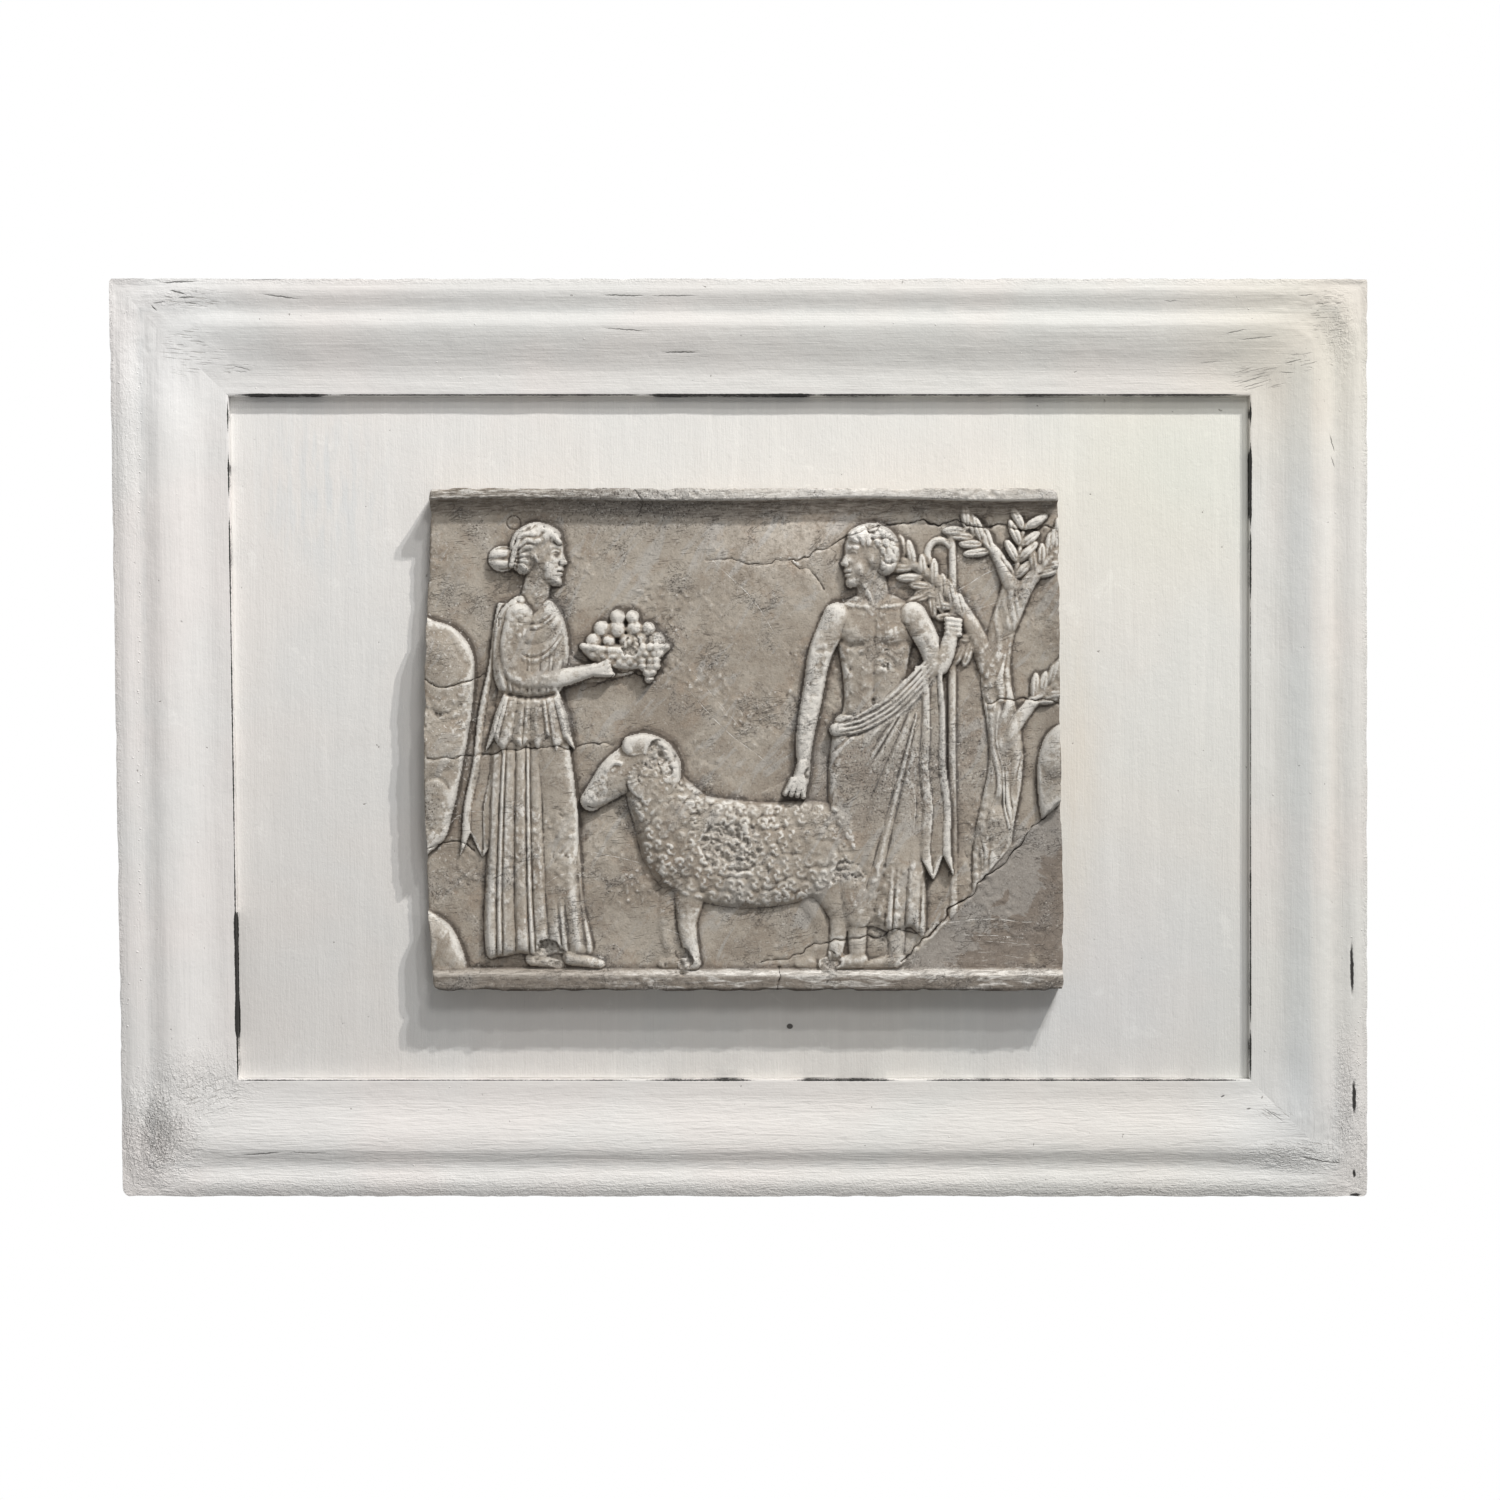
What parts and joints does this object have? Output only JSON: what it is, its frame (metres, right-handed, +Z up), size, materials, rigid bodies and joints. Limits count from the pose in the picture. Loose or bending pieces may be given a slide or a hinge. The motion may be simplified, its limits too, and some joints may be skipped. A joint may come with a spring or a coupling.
{
  "type": "framed plaster relief panel",
  "caption": "Wall panel: a small cast plaster slab with pastoral figures in low relief, laid on a white painted board inside a wide mitred ogee frame.",
  "frame": {"origin": "on the back of the backing board, at the middle of the frame's outer width and height", "axes": "+X to the right seen from the front, +Z up, -Y out of the carved front, +Y into the wall"},
  "size_m": [1.261, 0.0587, 0.92],
  "materials": {
    "frame_paint": "softwood with thick, brushed, chalky white paint, cracked over the joints",
    "board_paint": "board with thin brushed chalky white paint, streaked along its height",
    "aged_plaster": "matte cast plaster with a grey-brown patina, dark in the hollows and chalky on worn edges"
  },
  "bodies": {
    "root": {"frame_top_rail": "frame_paint", "frame_right_stile": "frame_paint", "frame_bottom_rail": "frame_paint", "frame_left_stile": "frame_paint", "backing_board": "board_paint", "plaster_relief": "aged_plaster"}
  },
  "joints": []
}
